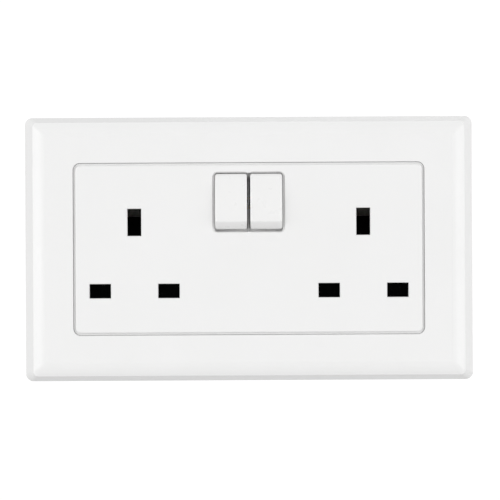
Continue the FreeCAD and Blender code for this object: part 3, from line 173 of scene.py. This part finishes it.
COPPER = worked_metal("copper", light=(0.86, 0.5, 0.34), dark=(0.7, 0.36, 0.22),
                      streaks=(STREAK_LONG, STREAK_LONG, STREAK_FINE), roughness=(0.22, 0.4))
SILVER = worked_metal("silver_tip", light=(0.88, 0.87, 0.84), dark=(0.74, 0.72, 0.68),
                      streaks=(STREAK_MEDIUM, STREAK_MEDIUM, STREAK_MEDIUM), roughness=(0.2, 0.38))
# Painted shade: the pivot pin is near black so that it stays dark and shows no glints in the gap between
# the rockers
PIN_SHADE_BLACK = worked_metal("pin_painted_shade", light=(0.03, 0.03, 0.032), dark=(0.018, 0.018, 0.02),
                     streaks=(STREAK_LONG, STREAK_FINE, STREAK_FINE), roughness=(0.5, 0.65))
STEEL = worked_metal("plated_steel", light=(0.66, 0.66, 0.65), dark=(0.52, 0.52, 0.5),
                     streaks=(STREAK_MEDIUM, STREAK_FINE, STREAK_MEDIUM), roughness=(0.26, 0.44))

SLOT_FINISH = {"rear_moulding": REAR, "dark_shutter": SHUTTER_BLACK_AND_SHADE, "nylon": NYLON, "brass": BRASS,
               "copper": COPPER, "silver": SILVER, "steel": STEEL, "white_face": WHITE}
FINISH = {part["node"]: SLOT_FINISH[part["material_slot"]] for part in record["subparts"]}
FINISH["rocker_left"] = FINISH["rocker_right"] = ROCKER
# The pivot pin takes the painted shade finish in place of its slot's finish
FINISH["rocker_pivot_pin"] = PIN_SHADE_BLACK


def dress_parts():
    for name, piece in nodes.items():
        piece.data.materials.clear()
        piece.data.materials.append(FINISH[name])


# Mesh helpers
def new_piece(name, points, faces, material):
    mesh = bpy.data.meshes.new(name)
    mesh.from_pydata(points, [], faces)
    mesh.polygons.foreach_set("use_smooth", [True] * len(mesh.polygons))
    mesh.materials.append(material)
    piece = bpy.data.objects.new(name, mesh)
    scene.collection.objects.link(piece)
    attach(piece, "base")
    return piece


def skin_rings(rings, around, first=0, looped=False):
    """Quads from ring to ring of points, with a cap on each end unless the rings form a loop."""
    faces = []
    for ring in range(rings if looped else rings - 1):
        here = first + ring * around
        there = first + (ring + 1) % rings * around
        for step in range(around):
            after = (step + 1) % around
            faces.append((here + step, here + after, there + after, there + step))
    if not looped:
        last = first + (rings - 1) * around
        faces.append(tuple(reversed(range(first, first + around))))
        faces.append(tuple(range(last, last + around)))
    return faces


# Return springs: round wire with closed ends, in place of the hidden CAD springs
OUTLET_X = mounts["plug_socket_right"]["pos_m"][0]
SPRING_LOW = -0.025
SPRING_HIGH = -0.00814
SPRING_DEPTH = -0.0048


def add_shutter_spring(side, sign):
    wire = 0.00045
    wire_sides = 10
    mean_radius = 0.001175
    active_turns = 7
    steps_per_turn = 28
    closed_end = wire + wire / 2  # one closed turn and half the wire's thickness
    pitch = (SPRING_HIGH - SPRING_LOW - 2 * closed_end) / active_turns
    foot = Vector((sign * OUTLET_X, SPRING_DEPTH, SPRING_LOW))
    rings = (active_turns + 2) * steps_per_turn + 1
    points = []
    for ring in range(rings):
        turns = ring / steps_per_turn
        rise = (wire / 2 + wire * min(turns, 1) + pitch * min(max(turns - 1, 0), active_turns)
                + wire * max(turns - 1 - active_turns, 0))
        out = Vector((math.cos(math.tau * turns), math.sin(math.tau * turns), 0))
        centre = foot + rise * UP + mean_radius * out
        for step in range(wire_sides):
            swing = math.tau * step / wire_sides
            points.append(centre + wire / 2 * (math.cos(swing) * out - math.sin(swing) * UP))
    name = f"shutter_spring_{side}"
    spring = new_piece(f"{name}_wire", points, skin_rings(rings, wire_sides), STEEL)
    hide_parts(name)
    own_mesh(spring)


# Thin web of the panel in the gap between the rockers: a rounded front edge, lower and thinner at the top
def add_rocker_web():
    axis_y, axis_z = joints["rocker_left_tilt"]["pos_m"][1:]
    pin_radius, pin_clearance = 0.001, 0.00018
    back = axis_y - pin_radius - pin_clearance
    half_length = 0.00975
    low_front, low_half = -0.0065, 0.00028
    high_front, high_half = -0.0058, 0.0001
    rings = 9
    round_steps = 8
    points = []
    for ring in range(rings):
        share = ring / (rings - 1)
        z = axis_z + half_length * (2 * share - 1)
        front = low_front + share * (high_front - low_front)
        half = low_half + share * (high_half - low_half)
        points.append((-half, back, z))
        for step in range(round_steps + 1):
            swing = math.pi * step / round_steps
            points.append((-half * math.cos(swing), front + half * (1 - math.sin(swing)), z))
        points.append((half, back, z))
    new_piece("rocker_web", points, skin_rings(rings, len(points) // rings), WHITE)


# Raised rings that the mould's ejector pins leave on the back of the housing
def add_ejector_marks():
    back = cad_high.y
    mark_radius = 0.0024
    bead_radius = 0.00014
    around, across = 40, 8
    side_x, side_low = 0.042, -0.019
    middle_high, middle_low = 0.017, 0.003
    centres = [(sign * side_x, z) for z in (0.0, side_low) for sign in (-1, 1)]
    centres += [(0.0, middle_high), (0.0, middle_low)]
    points, faces = [], []
    for x, z in centres:
        faces += skin_rings(around, across, first=len(points), looped=True)
        for step in range(around):
            turn = math.tau * step / around
            for cross in range(across):
                swing = math.tau * cross / across
                reach = mark_radius + bead_radius * math.cos(swing)
                points.append((x + reach * math.cos(turn), back + bead_radius * math.sin(swing),
                               z + reach * math.sin(turn)))
    new_piece("ejector_marks", points, faces, REAR)


# Stage: pale floor below the plate
def add_floor():
    half = 3.2
    level = -0.4
    cloud = 3.0
    light_grey, dark_grey = (0.71, 0.71, 0.71), (0.68, 0.68, 0.68)
    corners = [(-half, -half, level), (half, -half, level), (half, half, level), (-half, half, level)]
    mesh = bpy.data.meshes.new("floor")
    mesh.from_pydata(corners, [], [(0, 1, 2, 3)])
    floor = bpy.data.objects.new("floor", mesh)
    scene.collection.objects.link(floor)
    material, tree, shader, where = new_material("pale_floor")
    colour = blend_colours(tree, noise(tree, where, cloud), light_grey, dark_grey)
    tree.links.new(colour, shader.inputs["Base Color"])
    shader.inputs["Roughness"].default_value = 0.9
    mesh.materials.append(material)


# Soft studio light: white surroundings, softboxes at the sides and above, fills in front and behind
def add_surroundings():
    white = (1.0, 1.0, 1.0, 1.0)
    light_strength = 0.69
    backdrop_strength = 1.05
    world = bpy.data.worlds.new("studio")
    world.use_nodes = True
    tree = world.node_tree
    surround = tree.nodes["Background"]
    backdrop = tree.nodes.new("ShaderNodeBackground")
    for node, strength in ((surround, light_strength), (backdrop, backdrop_strength)):
        node.inputs["Color"].default_value = white
        node.inputs["Strength"].default_value = strength
    path = tree.nodes.new("ShaderNodeLightPath")
    mix = tree.nodes.new("ShaderNodeMixShader")
    tree.links.new(path.outputs["Is Camera Ray"], mix.inputs["Fac"])
    tree.links.new(surround.outputs["Background"], mix.inputs[1])
    tree.links.new(backdrop.outputs["Background"], mix.inputs[2])
    tree.links.new(mix.outputs["Shader"], tree.nodes["World Output"].inputs["Surface"])
    scene.world = world


def add_softbox(name, place, width, height, power, reflected=True):
    lamp = bpy.data.lights.new(name, "AREA")
    lamp.shape = "RECTANGLE"
    lamp.size = width
    lamp.size_y = height
    lamp.energy = power
    light = bpy.data.objects.new(name, lamp)
    light.location = place
    light.rotation_euler = (-Vector(place)).to_track_quat("-Z", "Y").to_euler()
    light.visible_camera = False
    light.visible_glossy = reflected
    scene.collection.objects.link(light)


def add_softboxes():
    for side, sign, power in (("left", -1, 4.65), ("right", 1, 4.2)):
        place = (sign * 0.98, -0.69, 0.12)
        add_softbox(f"{side}_softbox", place, width=1.1, height=0.66, power=power)
    add_softbox("front_fill", place=(0.0, -1.6, 0.1), width=1.2, height=0.8, power=0.9, reflected=False)
    add_softbox("top_softbox", place=(0.0, 0.45, 1.1), width=1.0, height=0.6, power=2.0, reflected=False)
    add_softbox("rear_fill", place=(0.4, 1.3, 0.1), width=0.9, height=0.9, power=3.0)


# Camera: straight on, with the photograph's framing and slight roll
def add_camera():
    distance = 0.9
    frame_front = -0.009
    seen_width = 0.1618
    aim_x, aim_z = 0.00036, -0.00046
    roll = math.radians(0.3)
    data = bpy.data.cameras.new("camera")
    data.sensor_width = 36.0
    data.lens = data.sensor_width * distance / seen_width
    camera = bpy.data.objects.new("camera", data)
    place = Matrix.Translation((aim_x, frame_front - distance, aim_z))
    level = Matrix.Rotation(math.radians(90), 4, "X")
    camera.matrix_world = place @ Matrix.Rotation(roll, 4, "Y") @ level
    scene.collection.objects.link(camera)
    scene.camera = camera


dress_parts()
add_shutter_spring("left", -1)
add_shutter_spring("right", 1)
add_rocker_web()
add_ejector_marks()
add_floor()
add_surroundings()
add_softboxes()
add_camera()
scene.view_settings.view_transform = "Standard"
